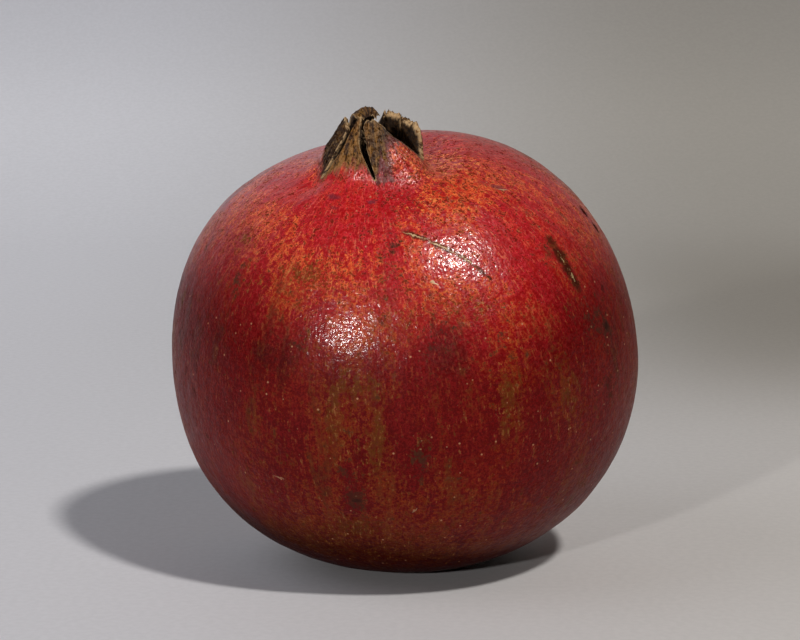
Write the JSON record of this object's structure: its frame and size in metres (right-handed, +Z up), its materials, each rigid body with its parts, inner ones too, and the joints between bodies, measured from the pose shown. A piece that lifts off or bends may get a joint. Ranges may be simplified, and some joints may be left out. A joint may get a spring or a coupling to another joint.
{
  "type": "pomegranate",
  "caption": "Whole ripe pomegranate with a leathery mottled red rind, a dry pointed calyx crown and a clipped stem end, resting upright on its flattened underside.",
  "frame": {"origin": "middle of the bounding box on the plane that the fruit rests on", "axes": "+Z up from the resting face, the calyx leans toward -Y, +X to the right seen from -Y"},
  "size_m": [0.0999, 0.095, 0.1011],
  "materials": {
    "rind": "waxy leathery rind, crimson with orange and brown mottling, brown dry crown",
    "dry_stamen": "dry dark brown filaments",
    "stem_wood": "dry bark with a pale cut face"
  },
  "bodies": {
    "root": {"rind_with_calyx": "rind", "dried_stamens": "dry_stamen", "stem_stub": "stem_wood"}
  },
  "joints": []
}
